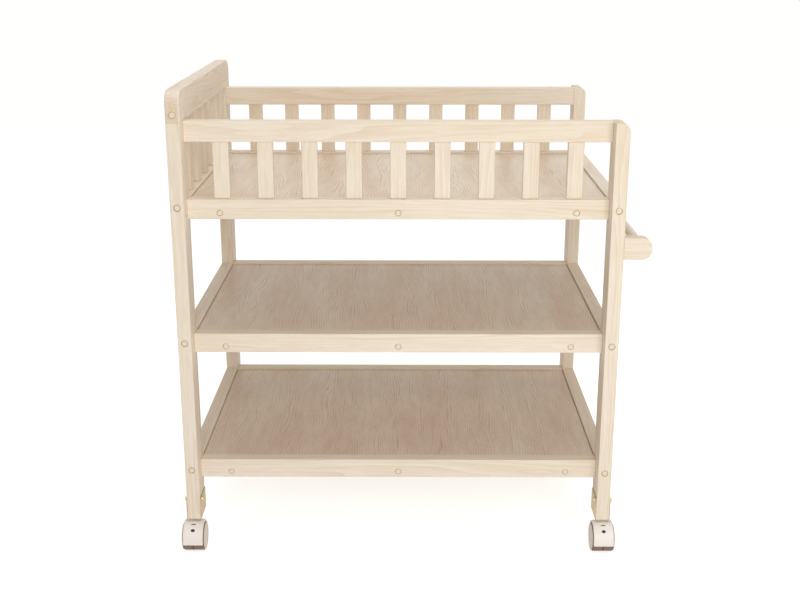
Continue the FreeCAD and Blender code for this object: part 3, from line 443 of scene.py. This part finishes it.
# %% [markdown]
# ## Marks on the hoods
#
# The front of each hood carries two small dark prints, one above the other: here a plain
# bar and a plain round dot. A print is far too thin to model as a body, and painting it in
# the hood's material would tie it to that one mesh. So each is a thin skin of its own.
#
# The bar is a grid. The dot is a filled circle with a ring of faces inside its edge and a
# point in its middle. Both have points enough to bend round the hood.

# %% Define the flat forms
BAR_SIZE = (9.2 * MM, 3.6 * MM)
BAR_COLUMNS, BAR_ROWS = 8, 6
DOT_RADIUS = 4.4 * MM
DOT_SIDES = 32


def bar_form():
    form = bmesh.new()
    bmesh.ops.create_grid(form, x_segments=BAR_COLUMNS, y_segments=BAR_ROWS, size=0.5)
    bmesh.ops.scale(form, vec=(*BAR_SIZE, 1), verts=form.verts)
    return form


def dot_form():
    form = bmesh.new()
    bmesh.ops.create_circle(form, segments=DOT_SIDES, radius=DOT_RADIUS, cap_ends=True)
    bmesh.ops.inset_region(form, faces=form.faces, thickness=DOT_RADIUS / 2, depth=0)
    bmesh.ops.poke(form, faces=[max(form.faces, key=lambda face: len(face.verts))])
    return form


print("a bar", round(BAR_SIZE[0] / MM, 1), "mm wide and a dot", round(DOT_RADIUS / MM, 1),
      "mm in radius")

# %% [markdown]
# ### Lay the marks on the pedals
#
# The front of the hood is the brake pedal, an arch about the wheels' axle. A flat form is
# lifted off the axle to outside the pedal and turned forward about it, until it stands
# before its place. Each point is then sent straight towards the axle until it meets the
# plastic, where it stops just above it. The point finds the plastic with a BVH tree, which
# is a quick way to ask where a ray meets a mesh.
#
# The marks ride on the pedal's own body, so they lift with it.

# %% Print the marks
CASTERS = [row + "_" + side for row in ("front", "rear") for side in ("left", "right")]
START_RADIUS = 45 * MM               # from the axle, outside the pedal
PRINT_THICKNESS = 0.06 * MM
BAR_ANGLE = 70                       # degrees above straight ahead
DOT_ANGLE = 45


def lay_on_pedal(form, caster, angle):
    pedal = nodes[caster + "_brake_pedal"]
    skin = BVHTree.FromObject(pedal, bpy.context.evaluated_depsgraph_get())
    low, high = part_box(caster + "_tread_left")
    axle_y, axle_z = (low[1] + high[1]) / 2, (low[2] + high[2]) / 2
    low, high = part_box(caster + "_brake_pedal")
    middle = Vector(((low[0] + high[0]) / 2, axle_y, axle_z))
    bmesh.ops.translate(form, vec=(0, 0, START_RADIUS), verts=form.verts)
    bmesh.ops.rotate(form, cent=(0, 0, 0), verts=form.verts,
                     matrix=Matrix.Rotation(math.radians(90 - angle), 3, "X"))
    for vert in form.verts:
        start = middle + vert.co
        inward = Vector((0, -vert.co.y, -vert.co.z)).normalized()
        meets = skin.ray_cast(start, inward)[0]
        vert.co = meets - inward * PRINT_THICKNESS


def print_mark(name, caster, form, angle):
    lay_on_pedal(form, caster, angle)
    mesh = bpy.data.meshes.new(name)
    form.to_mesh(mesh)
    form.free()
    mesh.shade_smooth()
    mesh.materials.append(mark_ink)
    mark = bpy.data.objects.new(name, mesh)
    bpy.context.scene.collection.objects.link(mark)
    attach(mark, caster + "_pedal")


for caster in CASTERS:
    print_mark(caster + "_mark_bar", caster, bar_form(), BAR_ANGLE)
    print_mark(caster + "_mark_dot", caster, dot_form(), DOT_ANGLE)
print("two marks on each of", len(CASTERS), "casters")

# %% [markdown]
# ## Floor
#
# The object stands on a white floor before a white background. The floor is a real surface
# that keeps the soft shadow under the object. Turning up the lamps until it is white would
# bleach the wood too. So it glows a little instead, and only for rays from the camera, from
# a reflection or through a clear body, which `seen` tells apart from the light that falls
# on the object.

# %% Make the floor
FLOOR_WHITE = "f4f4f4"
FLOOR_ROUGHNESS = 0.9
FLOOR_GLOW = 0.64
FLOOR_RADIUS = 60
FLOOR_SIDES = 64
WHITE = (1, 1, 1, 1)


def seen(tree):
    ray = add(tree, "ShaderNodeLightPath", {})
    either = add(tree, "ShaderNodeMath", {0: ray.outputs["Is Camera Ray"],
                                          1: ray.outputs["Is Glossy Ray"]},
                 operation="MAXIMUM")
    return add(tree, "ShaderNodeMath", {0: either.outputs[0],
                                        1: ray.outputs["Is Transmission Ray"]},
               operation="MAXIMUM").outputs[0]


white_floor, tree = empty_tree("white_floor")
glow = add(tree, "ShaderNodeMath", {0: seen(tree), 1: FLOOR_GLOW}, operation="MULTIPLY")
shader = add(tree, "ShaderNodeBsdfPrincipled",
             {"Base Color": colour(FLOOR_WHITE), "Roughness": FLOOR_ROUGHNESS,
              "Specular IOR Level": 0.0, "Emission Color": WHITE,
              "Emission Strength": glow.outputs[0]})
surface(tree, shader)

form = bmesh.new()
bmesh.ops.create_circle(form, cap_ends=True, segments=FLOOR_SIDES, radius=FLOOR_RADIUS)
floor_mesh = bpy.data.meshes.new("floor")
form.to_mesh(floor_mesh)
form.free()
floor_mesh.materials.append(white_floor)
floor = bpy.data.objects.new("floor", floor_mesh)
bpy.context.scene.collection.objects.link(floor)
print("floor", 2 * FLOOR_RADIUS, "m across")

# %% [markdown]
# ## Fill light and background
#
# An even fill comes from all round, from the world. It is a little warm, as light is that
# has met wood before. The camera sees the same world as plain white, at a strength of 1,
# which is the photograph's background.

# %% Fill the scene with light
FILL = 0.43
FILL_TINT = (1.0, 0.95, 0.885, 1)

world = bpy.data.worlds.new("studio")
world.use_nodes = True
world.node_tree.nodes.clear()
away = seen(world.node_tree)
level = add(world.node_tree, "ShaderNodeMapRange",
            {"Value": away, "To Min": FILL, "To Max": 1.0})
tint = add(world.node_tree, "ShaderNodeMix",
           {MIX_FACTOR: away, MIX_A: FILL_TINT, MIX_B: WHITE}, data_type="RGBA")
background = add(world.node_tree, "ShaderNodeBackground",
                 {"Color": tint.outputs[MIX_RESULT], "Strength": level.outputs[0]})
add(world.node_tree, "ShaderNodeOutputWorld", {"Surface": background.outputs[0]})
bpy.context.scene.world = world
print("a fill of", FILL)

# %% [markdown]
# ## Soft boxes
#
# The rest of the light is a studio's: a large soft box to the right of the camera and about
# as high, so that it reaches in between the shelves, and a second one overhead that lifts
# the changing surface. Their size keeps the shadows soft. The Standard view transform shows
# every colour as it is written.

# %% Hang the soft boxes
def soft_box(name, place, aim, width, height, watts):
    data = bpy.data.lights.new(name, "AREA")
    data.shape = "RECTANGLE"
    data.size = width
    data.size_y = height
    data.energy = watts
    lamp = bpy.data.objects.new(name, data)
    lamp.location = place
    lamp.rotation_mode = "QUATERNION"
    lamp.rotation_quaternion = (Vector(aim) - Vector(place)).to_track_quat("-Z", "Y")
    bpy.context.scene.collection.objects.link(lamp)


soft_box("front_box", place=(0.55, -2.7, 1.25), aim=(0, 0, 0.5), width=1.8, height=1.8,
         watts=34)
soft_box("top_box", place=(0.1, 0.1, 3.0), aim=(0, 0, 0.75), width=2.6, height=2.2,
         watts=24)
bpy.context.scene.view_settings.view_transform = "Standard"
print(len(bpy.data.lights), "soft boxes")
